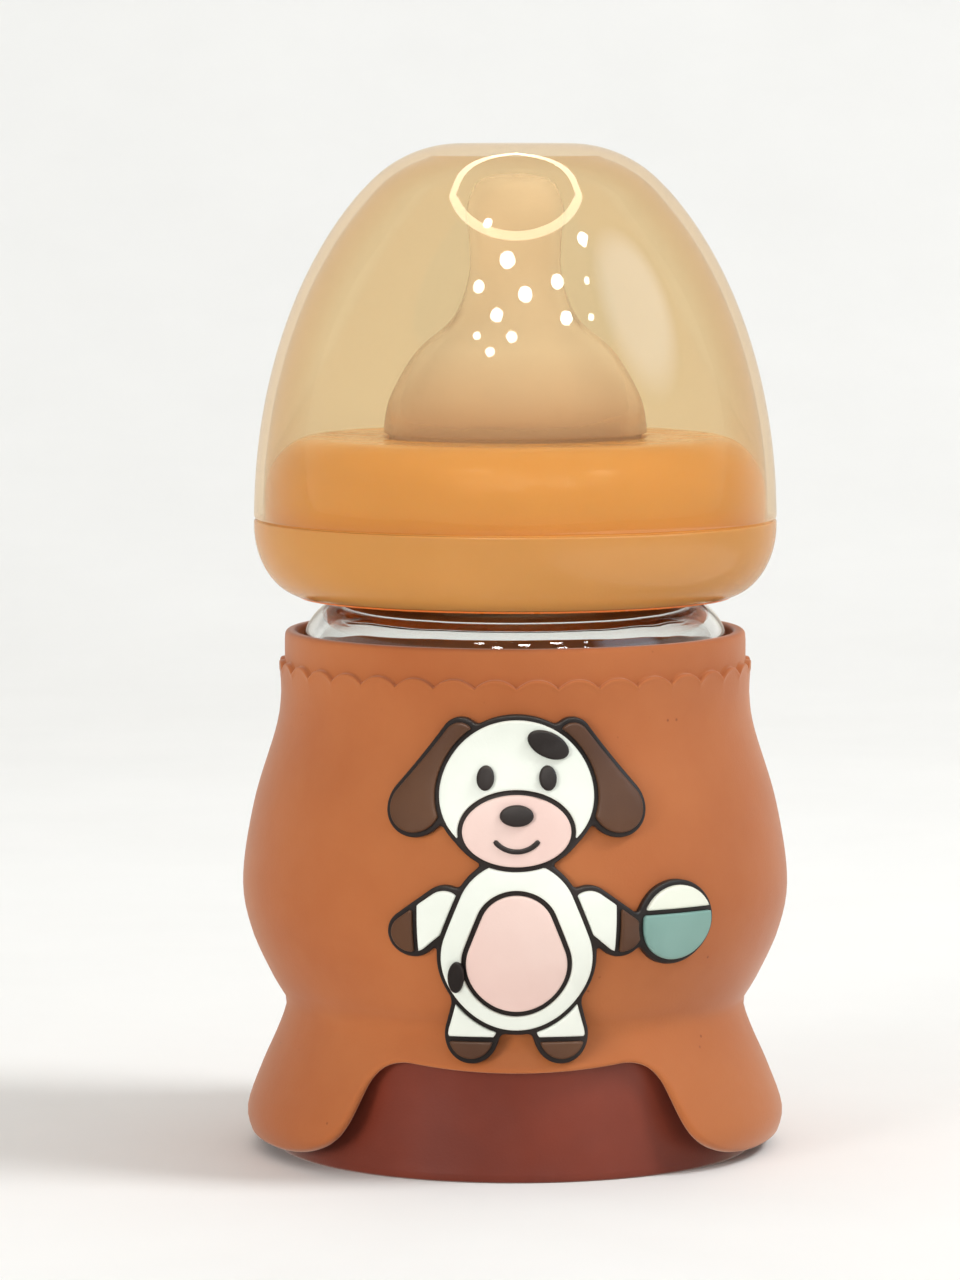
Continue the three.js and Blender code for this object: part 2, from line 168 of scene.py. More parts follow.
def turned(name, profile, closed, shaped=None):
    """A turned piece. shaped(angles, radius, height) may change the radius round each ring."""
    angles = np.linspace(0, 2 * math.pi, SEGMENTS, endpoint=False)
    rings = []
    for r, z in profile:
        radius = shaped(angles, r, z) if shaped else r
        rings.append(on_bottle(angles, radius, z))
    return skinned(name, rings, closed)


def place(piece, body, material, node):
    piece.data.materials.append(material)
    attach(piece, body)
    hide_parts(node)


# ---------------------------------------------------------------- materials

# Heights in metres between which a material changes from its lower to its upper colour: painted light on
# the collar, and on the teat thickness with painted bounce light.
COLLAR_PAINTED_LIGHT_FROM, COLLAR_PAINTED_LIGHT_TO = 0.0925, 0.0965
TEAT_THICK_AND_BOUNCE_FROM, TEAT_THICK_AND_BOUNCE_TO = 0.106, 0.118


def colour_of(hex_code):
    """A linear colour from a screen colour such as "BD7245"."""
    parts = [int(hex_code[i : i + 2], 16) / 255 for i in (0, 2, 4)]
    return [c / 12.92 if c <= 0.04045 else ((c + 0.055) / 1.055) ** 2.4 for c in parts] + [1]


def add_node(tree, kind, inputs, **settings):
    """A node whose inputs are given by name or number, each as a value or as another node's socket."""
    node = tree.nodes.new(kind)
    for key, value in settings.items():
        setattr(node, key, value)
    for key, value in inputs.items():
        if isinstance(value, bpy.types.NodeSocket):
            tree.links.new(value, node.inputs[key])
        else:
            node.inputs[key].default_value = value
    return node


def ramp(tree, factor, *stops):
    """A colour ramp through (position, colour) stops; a colour may be one number, for grey."""
    node = add_node(tree, "ShaderNodeValToRGB", {"Fac": factor})
    elements = node.color_ramp.elements
    while len(elements) < len(stops):
        elements.new(0.5)
    for element, (position, colour) in zip(elements, stops):
        element.position = position
        element.color = [colour] * 3 + [1] if isinstance(colour, (int, float)) else colour
    return node.outputs["Color"]


def noise(tree, place_socket, scale, detail=3, roughness=0.5):
    inputs = {"Vector": place_socket, "Scale": scale, "Detail": detail, "Roughness": roughness}
    return add_node(tree, "ShaderNodeTexNoise", inputs).outputs["Fac"]


def multiplied(tree, one, other):
    inputs = {0: 1, 6: one, 7: other}
    return add_node(tree, "ShaderNodeMix", inputs, data_type="RGBA", blend_type="MULTIPLY").outputs[2]


def by_height(tree, where, low, low_colour, high, high_colour):
    """A colour that goes from one to another between two heights in metres."""
    height = add_node(tree, "ShaderNodeSeparateXYZ", {"Vector": where}).outputs["Z"]
    share = add_node(tree, "ShaderNodeMapRange", {"Value": height, "From Min": low, "From Max": high})
    return ramp(tree, share.outputs["Result"], (0, low_colour), (1, high_colour))


def start_material(name, shader_inputs):
    """A material with its tree, its Principled shader and the socket that gives a place on the piece."""
    material = bpy.data.materials.new(name)
    material.use_nodes = True
    tree = material.node_tree
    shader = tree.nodes["Principled BSDF"]
    for key, value in shader_inputs.items():
        shader.inputs[key].default_value = value
    where = add_node(tree, "ShaderNodeTexCoord", {}).outputs["Object"]
    return material, tree, shader, where


def bump(tree, shader, height, strength, distance):
    inputs = {"Height": height, "Strength": strength, "Distance": distance}
    node = add_node(tree, "ShaderNodeBump", inputs)
    tree.links.new(node.outputs["Normal"], shader.inputs["Normal"])


def moulded(
    name,
    light,
    dark,
    roughness,
    sheen=0.0,
    subsurface=0.0,
    specular=0.5,
    coat=0.0,
    specks=None,
    painted_light_above_seat=None,
):
    """Coloured silicone, plastic or soft PVC: a cloudy tint, an uneven gloss and a fine mould grain.

    specks is the colour of rare specks. A painted-light tint may multiply the colour above the seat of
    the cap, to paint it lighter.
    """
    material, tree, shader, where = start_material(
        name,
        {
            "IOR": 1.44,
            "Specular IOR Level": specular,
            "Sheen Weight": sheen,
            "Sheen Roughness": 0.4,
            "Sheen Tint": (1, 0.93, 0.86, 1),
            "Subsurface Weight": subsurface,
            "Subsurface Radius": (0.004, 0.0018, 0.0009),
            "Subsurface Scale": 0.6,
            "Coat Weight": coat,
            "Coat Roughness": 0.25,
        },
    )
    tint = ramp(tree, noise(tree, where, 38, 4), (0.36, dark), (0.64, light))
    # Painted light: above the seat of the cap the colour is multiplied lighter, standing in for the
    # brighter light there.
    if painted_light_above_seat:
        plain = (1, 1, 1, 1)
        painted_light_lift = by_height(tree, where, COLLAR_PAINTED_LIGHT_FROM, plain, COLLAR_PAINTED_LIGHT_TO, painted_light_above_seat)
        tint = multiplied(tree, tint, painted_light_lift)
    if specks:
        cells = add_node(tree, "ShaderNodeTexVoronoi", {"Vector": where, "Scale": 420, "Randomness": 1})
        dot = ramp(tree, cells.outputs["Distance"], (0.07, 1), (0.11, 0))
        seldom = ramp(tree, noise(tree, where, 130, 2), (0.6, 0), (0.66, 1))
        share = add_node(tree, "ShaderNodeMath", {0: dot, 1: seldom}, operation="MULTIPLY").outputs[0]
        speckled = {0: share, 6: tint, 7: specks}
        tint = add_node(tree, "ShaderNodeMix", speckled, data_type="RGBA").outputs[2]
    tree.links.new(tint, shader.inputs["Base Color"])
    gloss = ramp(tree, noise(tree, where, 210, 5, 0.6), (0.3, roughness - 0.06), (0.7, roughness + 0.06))
    tree.links.new(gloss, shader.inputs["Roughness"])
    bump(tree, shader, noise(tree, where, 2600, 3, 0.6), 0.5, 0.00004)
    return material


def lets_lamps_through(material, tree, shader, colour):
    """Lamps shine through the piece, tinted that colour, and so they light what stands inside it."""
    path = add_node(tree, "ShaderNodeLightPath", {})
    clear = add_node(tree, "ShaderNodeBsdfTransparent", {"Color": colour})
    mix = add_node(
        tree,
        "ShaderNodeMixShader",
        {0: path.outputs["Is Shadow Ray"], 1: shader.outputs["BSDF"], 2: clear.outputs["BSDF"]},
    )
    tree.links.new(mix.outputs[0], tree.nodes["Material Output"].inputs["Surface"])
    return material


def amber_plastic():
    """Clear amber plastic, deeper in tint towards its edge, with a film of fine haze.

    Its walls are thin, so it doesn't bend light. The gloss is in its coat.
    """
    material, tree, shader, where = start_material(
        "amber_plastic",
        {"Transmission Weight": 1, "IOR": 1.0, "Coat Weight": 1, "Coat IOR": 1.5, "Coat Roughness": 0.03},
    )
    facing = add_node(tree, "ShaderNodeLayerWeight", {"Blend": 0.5}).outputs["Facing"]
    tint = ramp(tree, facing, (0.45, colour_of("F6E7CA")), (0.95, colour_of("E9C697")))
    tree.links.new(tint, shader.inputs["Base Color"])
    haze = ramp(tree, noise(tree, where, 26, 5, 0.6), (0.42, 0.015), (0.72, 0.07))
    tree.links.new(haze, shader.inputs["Roughness"])
    bump(tree, shader, noise(tree, where, 90, 2), 0.12, 0.0004)
    return lets_lamps_through(material, tree, shader, (1, 0.97, 0.9, 1))


def clear_glass():
    """Moulded glass: clear, faintly green, with the slow ripples that its mould leaves."""
    material, tree, shader, where = start_material(
        "clear_glass",
        {"Base Color": colour_of("FAFCFA"), "Transmission Weight": 1, "IOR": 1.5},
    )
    smears = ramp(tree, noise(tree, where, 60, 3), (0.45, 0.0), (0.75, 0.03))
    tree.links.new(smears, shader.inputs["Roughness"])
    bump(tree, shader, noise(tree, where, 70, 1), 0.3, 0.0006)
    return lets_lamps_through(material, tree, shader, (0.95, 0.96, 0.95, 1))


def teat_silicone():
    """Milky silicone that lets most of the light through, and is browner in its thick lower part: partly
    the thicker silicone, partly painted warm bounce light from the collar.
    """
    material, tree, shader, where = start_material(
        "teat_silicone",
        {"Transmission Weight": 0.7, "IOR": 1.1},
    )
    # Partly painted light: the browner lower colour also stands in for warm light bounced from the
    # collar.
    lower, upper = colour_of("DFC9B8"), colour_of("F0EAE4")
    body = by_height(tree, where, TEAT_THICK_AND_BOUNCE_FROM, lower, TEAT_THICK_AND_BOUNCE_TO, upper)
    cloud = ramp(tree, noise(tree, where, 60, 3), (0.35, 0.94), (0.65, 1))
    tree.links.new(multiplied(tree, body, cloud), shader.inputs["Base Color"])
    gloss = ramp(tree, noise(tree, where, 80, 3), (0.3, 0.2), (0.7, 0.26))
    tree.links.new(gloss, shader.inputs["Roughness"])
    bump(tree, shader, noise(tree, where, 120, 2), 0.1, 0.0002)
    return lets_lamps_through(material, tree, shader, (0.7, 0.64, 0.57, 1))


# ---------------------------------------------------------------- dome cap and collar

CAP_CENTRE = 93  # height at which the dome is widest
CAP_HALF_HEIGHT = 59.6
CAP_WALL = 1.3
CAP_CROWN_WALL = 1.8
CROWN_RADIUS = 18.6  # rounding from the dome's side to its flat crown
CROWN_FLAT = 8
UNDER_FLAT = 12.5  # radius of the flat under the crown
COLLAR_SKIN = 1.8
SEAT_RADIUS = 36.95  # the collar's upper half, inside the cap
TEAT_HOLE = 19.1  # through the collar's top
FLANGE_ROOM = 21.5  # inside the collar, for the teat's flange
COLLAR_PAINTED_LIGHT = (1.0, 1.13, 1.17, 1)  # painted light: the collar is painted lighter inside the cap


def dome_cap():
    radius, rim, top = node_size("dome_cap")
    inner = radius - CAP_WALL
    under = top - CAP_CROWN_WALL
    crown_z = top - CROWN_RADIUS
    inner_crown = CROWN_RADIUS - CAP_WALL - 0.1
    under_edge = arc(CROWN_FLAT, crown_z, inner_crown, inner_crown, 73, 41, 12)
    profile = [
        *filleted([(0, under, 0), (UNDER_FLAT, under, 0.5), (*under_edge[0], 0)]),
        *under_edge[1:],
        *arc(0, CAP_CENTRE, inner, CAP_HALF_HEIGHT - CAP_CROWN_WALL, 54, 2, 44),
        *filleted([(inner, rim + 0.7, 0), (inner, rim, 0.3), (radius, rim, 0.4), (radius, rim + 0.9, 0)]),
        *arc(0, CAP_CENTRE, radius, CAP_HALF_HEIGHT, 2, 54, 48),
        *arc(CROWN_FLAT, crown_z, CROWN_RADIUS, CROWN_RADIUS, 43, 90, 16),
        (0, top),
    ]
    return turned("cap_dome", profile, closed=False)


def collar_shell():
    radius, _, top = node_size("collar_shell")
    seat = CAP_CENTRE
    ring_foot = node_size("collar_thread_ring")[1]
    lower = (30.6, 92.2, radius - 30.6, 92.2 - ring_foot)
    upper = (29.4, 96.4, SEAT_RADIUS - 29.4, top - 96.4)

    def inset(rounding):
        r, z, half_r, half_z = rounding
        return r, z, half_r - COLLAR_SKIN, half_z - COLLAR_SKIN

    step = [(radius, 92.3, 0), (radius, seat, 0.3), (SEAT_RADIUS, seat, 0.2), (SEAT_RADIUS, 96.3, 0)]
    profile = [
        *arc(*lower, -76, 0, 24),
        *filleted(step),
        *arc(*upper, 0, 90, 24),
        *filleted(
            [
                (28, top, 0),
                (TEAT_HOLE, top, 0.8),
                (TEAT_HOLE, top - 2, 0.4),
                (FLANGE_ROOM, top - 2, 0.2),
                (FLANGE_ROOM, 101.3, 0.4),
                (26.6, 101.3, 0.4),
                (26.9, top - COLLAR_SKIN, 0.3),
                (28.5, top - COLLAR_SKIN, 0),
            ]
        ),
        *arc(*inset(upper), 90, 0, 16),
        *arc(*inset(lower), -10, -72, 16),
    ]
    return turned("collar_skin", profile, closed=True)


THREAD_PITCH = 4.5
THREAD_TURNS = 1.25
NECK_THREAD_TOP = 95
NECK_THREAD_DEPTH = 1.5
RING_THREAD_DEPTH = 1.25
THREAD_LAG = 1.63  # how far the ring's thread starts below the neck's
THREAD_FADE = 22.5  # degrees over which a thread's ends die away


def thread_height(angles, height, top, root_width, crest_width):
    """How far a thread stands out, from 0 to 1, at angles from the front and a height."""
    turn = 2 * math.pi
    start = -math.pi / 2  # from the front to the +X side, where the CAD's threads start
    best = np.zeros_like(angles)
    for lap in range(3):
        along = np.mod(-(angles + start), turn) + lap * turn
        inside = np.clip(np.minimum(along, THREAD_TURNS * turn - along) / math.radians(THREAD_FADE), 0, 1)
        off = np.abs(height - (top - THREAD_PITCH * along / turn))
        flank = np.clip((root_width / 2 - off) / (root_width / 2 - crest_width / 2), 0, 1)
        best = np.maximum(best, inside * flank * flank * (3 - 2 * flank))
    return best


def collar_ring():
    _, foot, top = node_size("collar_thread_ring")
    bore, wall, lip = 27.4, 1.6, 32.25
    down = [(bore, z) for z in np.linspace(top - 0.3, foot + 0.7, 84)]
    profile = [
        *filleted(
            [
                (bore, foot + 0.7, 0),
                (bore + 0.3, foot, 0.3),
                (lip, foot, 0.4),
                (lip, foot + 1.5, 0.4),
                (bore + wall, foot + 2, 0.8),
                (bore + wall, top, 0.3),
                (bore + 0.2, top, 0.2),
                (bore, top - 0.3, 0),
            ]
        ),
        *down[1:-1],
    ]

    def threaded(angles, r, z):
        if abs(r - bore) > 1e-6:
            return r
        return r - RING_THREAD_DEPTH * thread_height(angles, z, NECK_THREAD_TOP - THREAD_LAG, 2.1, 0.9)

    return turned("collar_ring", profile, True, threaded)


# ---------------------------------------------------------------- teat and glass bottle

BREAST_RADIUS = 19.4
STEM_RADIUS = 18.6  # where the teat passes through the collar


def teat():
    flange, foot, tip = node_size("silicone_teat")
    orifice = 0.5
    breast = [(BREAST_RADIUS, 106.6), (18.4, 111.1), (14.6, 117.6), (9.2, 122.6), (6.9, 128.6)]
    nipple = [(6.8, 134), (7.2, 138.4), (5.6, 142.5), (2.6, tip - 0.25), (orifice, tip)]
    hollow = [(orifice, tip - 1.7), (3.9, 141.2), (5.4, 138.2), (5.2, 133), (5.4, 127.8), (8, 121.2)]
    hollow += [(12.9, 116.2), (16.5, 110.2), (16.4, 103.6), (17.6, foot)]
    profile = [
        *filleted(
            [
                (STEM_RADIUS, foot, 0),
                (flange, foot, 0.4),
                (flange, 101, 0.4),
                (20.9, 101, 0.5),
                (STEM_RADIUS, 102.6, 0.6),
                (STEM_RADIUS, 105.4, 0.3),
                (BREAST_RADIUS, 105.8, 0.3),
                (BREAST_RADIUS, 106.6, 0),
            ]
        ),
        *flowing([*breast, *nipple])[1:],
        *flowing(hollow),
    ]
    return turned("teat_body", profile, closed=True)


GLASS_WALL = 2.4
SHOULDER_RADIUS = 9
SHOULDER_Z = 73
NECK_RADIUS = 25.6
MOUTH_RADIUS = 22.4


def glass_bottle():
    radius, foot, mouth = node_size("glass_bottle")
    inner = radius - GLASS_WALL
    shoulder_r = radius - SHOULDER_RADIUS
    inner_shoulder = inner - shoulder_r
    neck_foot = 82.6
    neck = [(NECK_RADIUS, z) for z in np.linspace(86, mouth - 1, 54)]
    punt = [(0, foot + 1.4, 0), (19, foot + 0.9, 4), (24.5, foot, 1.6)]
    side = [(radius, foot, 5), (radius, 40, 0)]
    profile = [
        *filleted([*punt, *side], 10),
        *arc(shoulder_r, SHOULDER_Z, SHOULDER_RADIUS, SHOULDER_RADIUS, 0, 62, 20),
        *filleted([(27.7, 80.5, 0), (NECK_RADIUS, neck_foot - 1, 1.5), (NECK_RADIUS, 85.9, 0)])[1:],
        *neck,
        *filleted(
            [
                (NECK_RADIUS, mouth - 0.9, 0),
                (NECK_RADIUS, mouth, 0.7),
                (MOUTH_RADIUS, mouth, 0.7),
                (MOUTH_RADIUS, neck_foot - 0.8, 3),
                (shoulder_r + inner_shoulder * 0.42, 79.1, 0),
            ]
        ),
        *arc(shoulder_r, SHOULDER_Z, inner_shoulder, inner_shoulder, 62, 0, 16),
        *filleted([(inner, 40, 0), (inner, foot + 3.2, 4.5), (18, foot + 3.3, 8), (0, foot + 4, 0)], 10),
    ]

    def threaded(angles, r, z):
        if abs(r - NECK_RADIUS) > 1e-6 or not 86 <= z < mouth - 0.8:
            return r
        return r + NECK_THREAD_DEPTH * thread_height(angles, z, NECK_THREAD_TOP, 2.4, 1)

    return turned("bottle_glass", profile, False, threaded)


# ---------------------------------------------------------------- sleeve and suction base

SLEEVE_OUTSIDE = [
    (38.9, 1.8),
    (39.75, 5.6),
    (37.7, 11.6),
    (34.9, 18),
    (33.95, 21.8),
    (35.85, 25.2),
    (39.1, 32.4),
    (40.35, 40),
    (38.6, 51.4),
    (35.4, 62),
    (34.65, 67),
    (34.75, 71.2),
]
SLEEVE_INSIDE = [
    (37.3, 1.8),
    (37.5, 6.4),
    (35.6, 12.4),
    (33.75, 17.8),
    (32.2, 22.4),
    (33.9, 26.4),
    (37.0, 33),
    (38.25, 40),
    (36.5, 50.4),
    (33.3, 60.6),
    (32.1, 65),
    (32.1, 80),
]
SLEEVE_COLUMNS = 576  # a multiple of 4 and of the scallops
SCALLOPS = 36
SCALLOP_FOOT = 71.1  # height of the cusps between the scallops
SCALLOP_RISE = 1.3
BAND_RADIUS = 34.05  # the plain band above the scallops
SKIRT_JOIN = 27  # above this height the sleeve's columns stand upright
SKIRT_RADIUS = 37  # radius on which the hem is laid out flat
HEM_LIP = 0.8  # rounding of the hem
RIM_RADIUS = 34.75  # the sleeve's outside under its rim
SLEEVE_BORE = 32.1

outside_at = reading(flowing([*SLEEVE_OUTSIDE, (RIM_RADIUS, 80)]))
inside_at = reading(flowing(SLEEVE_INSIDE))


def bezier(start, *curves, steps=24):
    """Points along cubic curves, each given as two handles and an end."""
    line = [np.array(start, float)]
    for one, two, end in curves:
        a, b, c, d = line[-1], np.array(one, float), np.array(two, float), np.array(end, float)
        for t in np.linspace(0, 1, steps + 1)[1:]:
            line.append((1 - t) ** 3 * a + 3 * (1 - t) ** 2 * t * b + 3 * (1 - t) * t**2 * c + t**3 * d)
    return np.array(line)


def hem_quarter(hem):
    """The skirt's lower edge from the front to the right side, as (angle, height), evenly spaced."""
    arch = bezier(
        (0, 15.9),
        ((5, 15.9), (10.5, 16.2), (15.5, 16.8)),
        ((18.2, 16.9), (20.2, 15.9), (22, 13)),
        ((24.6, 8.6), (26, 2.2), (35, hem)),
    )
    angles = np.arcsin(arch[:, 0] / outside_at(arch[:, 1]))
    side = np.linspace(angles[-1], math.pi / 2, 20)[1:]
    line = np.concatenate([np.stack([angles, arch[:, 1]], 1), np.stack([side, np.full(19, hem)], 1)])
    flat = line * (SKIRT_RADIUS, 1)
    travelled = np.concatenate([[0], np.cumsum(np.linalg.norm(np.diff(flat, axis=0), axis=1))])
    even = np.linspace(0, travelled[-1], SLEEVE_COLUMNS // 4 + 1)
    return np.stack([np.interp(even, travelled, line[:, i]) for i in (0, 1)], axis=1)


def hem_line(hem):
    """The whole lower edge: the front arch, the side, the back arch and the other side."""
    quarter = hem_quarter(hem)[:-1]
    mirror = hem_quarter(hem)[1:][::-1] * (-1, 1) + (math.pi, 0)
    half = np.concatenate([quarter, mirror])
    return np.concatenate([half, half + (math.pi, 0)])


def sleeve():
    hem, top = node_size("silicone_sleeve")[1:]
    edge = hem_line(hem)
    upright = np.linspace(0, 2 * math.pi, SLEEVE_COLUMNS, endpoint=False)
    around = np.array([2 * math.pi, 0])
    after = np.concatenate([edge[1:], edge[:1] + around])
    before = np.concatenate([edge[-1:] - around, edge[:-1]])
    along = after - before
    inward = np.stack([-along[:, 1] / SKIRT_RADIUS, along[:, 0] * SKIRT_RADIUS], axis=1)
    inward /= np.linalg.norm(inward * (SKIRT_RADIUS, 1), axis=1, keepdims=True)
    phase = upright / (2 * math.pi) * SCALLOPS % 1
    scallop = SCALLOP_FOOT + SCALLOP_RISE * (1 - np.abs(2 * phase - 1) ** 2.2)

    def ring(place_on, share):
        """One ring at (angle, height) pairs, from the inside at share 0 to the outside at 1."""
        angle, height = place_on[:, 0], place_on[:, 1]
        inner, outer = inside_at(height), outside_at(height)
        return on_bottle(angle, inner + (outer - inner) * share, height)

    rings = []
    for turn in np.radians(np.linspace(-90, 90, 11)):
        from_edge = HEM_LIP * (1 - math.cos(turn))
        rings.append(ring(edge + inward * from_edge, 0.5 + 0.5 * math.sin(turn)))
    upper = np.stack([upright, np.full(SLEEVE_COLUMNS, float(SKIRT_JOIN))], axis=1)
    start = edge + inward * HEM_LIP
    rise = np.linspace(0, 1, 19)[1:] ** 1.15
    rings += [ring(start + (upper - start) * share, 1) for share in rise]
    rings += [on_bottle(upright, outside_at(z), z) for z in np.arange(SKIRT_JOIN + 1.5, 69.5, 1.5)]

    steps = [(-1.4, 0), (-0.9, 0.02), (-0.6, 0.09), (-0.4, 0.14), (-0.22, 0.12), (-0.1, 0.02)]
    rings += [on_bottle(upright, RIM_RADIUS + out, scallop + away) for away, out in steps]
    root = [(-0.02, 0.3), (0.04, 0)]
    rings += [on_bottle(upright, BAND_RADIUS + out, scallop + away) for away, out in root]
    rings += [on_bottle(upright, BAND_RADIUS, scallop + 0.35), on_bottle(upright, BAND_RADIUS, 74.2)]
    rim = [(BAND_RADIUS, 75.2, 0), (33.95, top, 0.75), (SLEEVE_BORE, top, 0.75), (SLEEVE_BORE, 75.2, 0)]
    rings += [on_bottle(upright, r, z) for r, z in filleted(rim, 6)]
    rings += [on_bottle(upright, inside_at(z), z) for z in np.arange(73.5, SKIRT_JOIN, -2)]
    rings += [ring(start + (upper - start) * share, 0) for share in rise[::-1]]
    return skinned("sleeve_body", rings, closed=True)


def suction_base():
    rim, foot, top = node_size("suction_base")
    cup = 32.05  # radius of the hollow that holds the bottle
    hollow = [(0, 5.6, 0), (25, 5.2, 4), (30.4, 3, 3)]
    edge = [(32.6, foot, 0.6), (rim - 0.1, foot, 0.5), (rim - 0.1, 0.8, 0)]
    profile = [
        *filleted([*hollow, *edge], 8),
        *flowing([(rim - 0.12, 1.1), (34.9, 3.2), (34.3, 7.4), (33.7, 12), (33.4, top - 0.6)]),
        *filleted([(33.4, top - 0.5, 0), (33.35, top, 0.4), (cup, top, 0.4), (cup, 12.8, 0)]),
        *arc(cup - 5, 12.75, 5, 5, 0, -90, 12),
        (0, 7.75),
    ]
    return turned("base_cup", profile, closed=False)


# ---------------------------------------------------------------- badge

BADGE_BACK = [(35.9, 16), (35.6, 21.6), (36.6, 25.8), (39.4, 32.4), (40.6, 40), (38.95, 51.4)]
BADGE_BACK += [(35.75, 62), (35.15, 67), (35.15, 70)]
BADGE_WRAP = 38  # radius on which the flat drawing is laid out
PLATE_FRONT = 0.75
INLAY_FRONT = 1.45
DETAIL_FRONT = 2.15
SEAT = 0.3  # how deep each layer sits in the one behind it
RIM = 0.75  # how far the black plate shows round the colours
LINE = 0.7  # black line between two colours
CONTOUR_STEP = 0.3  # spacing of the grid that finds an outline
FILL_STEP = 1.3  # spacing of the points inside an outline

badge_back_at = reading(flowing(BADGE_BACK))

# Each shape below is a function of points (x, z) in millimetres that is negative inside the shape.


def oval(x, z, a, b, tilt=0):
    turn = math.radians(tilt)

    def distance(p, q):
        u = ((p - x) * math.cos(turn) + (q - z) * math.sin(turn)) / a
        v = ((q - z) * math.cos(turn) - (p - x) * math.sin(turn)) / b
        reach = np.hypot(u, v)
        return reach * (reach - 1) / np.maximum(np.hypot(u / a, v / b), 1e-6)

    return distance


def bar(start, end, r, far_r=None):
    """A bar with round ends, of two radii."""
    far_r = r if far_r is None else far_r
    (x0, z0), (x1, z1) = start, end
    length = math.hypot(x1 - x0, z1 - z0)
    ux, uz = (x1 - x0) / length, (z1 - z0) / length
    lean = (r - far_r) / length
    upright = math.sqrt(1 - lean * lean)

    def distance(p, q):
        across = np.abs((q - z0) * ux - (p - x0) * uz)
        along = (p - x0) * ux + (q - z0) * uz
        k = along * upright - across * lean
        side = across * upright + along * lean - r
        near = np.hypot(across, along) - r
        far = np.hypot(across, along - length) - far_r
        return np.where(k < 0, near, np.where(k > upright * length, far, side))

    return distance


def smile(x, z, r, width, half_angle):
    half = math.radians(half_angle)
    end = (r * math.sin(half), -r * math.cos(half))

    def distance(p, q):
        u, v = np.abs(p - x), q - z
        inside = np.arctan2(u, -v) < half
        return np.where(inside, np.abs(np.hypot(u, v) - r), np.hypot(u - end[0], v - end[1])) - width / 2

    return distance


def mirrored(shape):
    return lambda p, q: shape(-p, q)


def grown(shape, by):
    return lambda p, q: shape(p, q) - by


def without(shape, *cuts):
    """A shape with others, and the black line round them, taken out."""
    return lambda p, q: np.maximum.reduce([shape(p, q)] + [LINE - cut(p, q) for cut in cuts])


def right_of(x):
    return lambda p, q: x - p


def below(z):
    return lambda p, q: q - z


def above(z):
    return lambda p, q: z - q


def both(*shapes):
    return lambda p, q: np.maximum.reduce([shape(p, q) for shape in shapes])


def merged(*shapes):
    """Shapes joined with small fillets in the corners between them."""
    blend = 0.9

    def distance(p, q):
        total = shapes[0](p, q)
        for shape in shapes[1:]:
            other = shape(p, q)
            near = np.maximum(blend - np.abs(total - other), 0) / blend
            total = np.minimum(total, other) - near * near * blend / 4
        return total

    return distance


def contour(shape, level, xs, zs):
    """Closed lines on which a shape has that level, found on a grid by marching through its cells."""
    value = shape(*np.meshgrid(xs, zs, indexing="ij")) - level
    inside = value < 0
    crossing = {}

    def point(i, j, k, m):
        a, b = value[i, j], value[k, m]
        t = a / (a - b)
        return (xs[i] + (xs[k] - xs[i]) * t, zs[j] + (zs[m] - zs[j]) * t)

    cells = inside[:-1, :-1].astype(int) + inside[1:, :-1] + inside[1:, 1:] + inside[:-1, 1:]
    for i, j in zip(*np.nonzero((cells > 0) & (cells < 4))):
        corners = [(i, j), (i + 1, j), (i + 1, j + 1), (i, j + 1)]
        ends = []
        for one, two in zip(corners, corners[1:] + corners[:1]):
            if inside[one] != inside[two]:
                ends.append(((min(one, two), max(one, two)), inside[one]))
        starts = [edge for edge, leaves in ends if leaves]
        stops = [edge for edge, leaves in ends if not leaves]
        for start, stop in zip(starts, stops):
            crossing[start] = stop
    loops = []
    while crossing:
        first, edge = crossing.popitem()
        loop = [first]
        while edge != first:
            loop.append(edge)
            edge = crossing.pop(edge)
        loops.append([point(*one, *two) for one, two in loop])
    return loops


def raised(name, shape, area, back, front, soft=0.35):
    """A raised flat shape with a rounded edge, wrapped round the sleeve.

    back and front are measured from the badge's back. Where back is None, it reaches into the sleeve.
    """
    xs = np.arange(area[0], area[1] + CONTOUR_STEP, CONTOUR_STEP)
    zs = np.arange(area[2], area[3] + CONTOUR_STEP, CONTOUR_STEP)
    points, edges = [], []
    for share in (0, 0.13, 0.5, 1):
        for loop in contour(shape, -soft * share, xs, zs):
            start = len(points)
            points += loop
            edges += [(start + i, start + (i + 1) % len(loop)) for i in range(len(loop))]
    fill_x, fill_z = np.meshgrid(np.arange(*area[:2], FILL_STEP), np.arange(*area[2:], FILL_STEP))
    deep = shape(fill_x, fill_z) < -soft - 0.3
    points += list(zip(fill_x[deep], fill_z[deep]))
    found = geometry.delaunay_2d_cdt([Vector(p) for p in points], edges, [], 0, 1e-5)
    flat = np.array([tuple(p) for p in found[0]])
    faces = np.array([f for f in found[2] if len(f) == 3])
    middle = flat[faces].mean(axis=1)
    faces = faces[shape(middle[:, 0], middle[:, 1]) < 0]
    depth = np.clip(-shape(flat[:, 0], flat[:, 1]) / soft, 0, 1)
    height = front - soft + soft * np.sqrt(np.maximum(1 - (1 - depth) ** 2, 0))
    count = len(flat)
    angle = flat[:, 0] / BADGE_WRAP
    top = on_bottle(angle, badge_back_at(flat[:, 1]) + height, flat[:, 1])
    floor = outside_at(flat[:, 1]) - 0.1 if back is None else badge_back_at(flat[:, 1]) + back
    bottom = on_bottle(angle, floor, flat[:, 1])
    directed = {edge for a, b, c in faces.tolist() for edge in ((a, b), (b, c), (c, a))}
    walls = [(b, a, a + count, b + count) for a, b in directed if (b, a) not in directed]
    skin = [tuple(f) for f in faces] + [tuple(f[::-1] + count) for f in faces] + walls
    used = sorted({i for f in skin for i in f})
    renumber = {old: new for new, old in enumerate(used)}
    both_sides = np.concatenate([top, bottom])[used]
    return new_object(name, both_sides, [[renumber[i] for i in f] for f in skin])


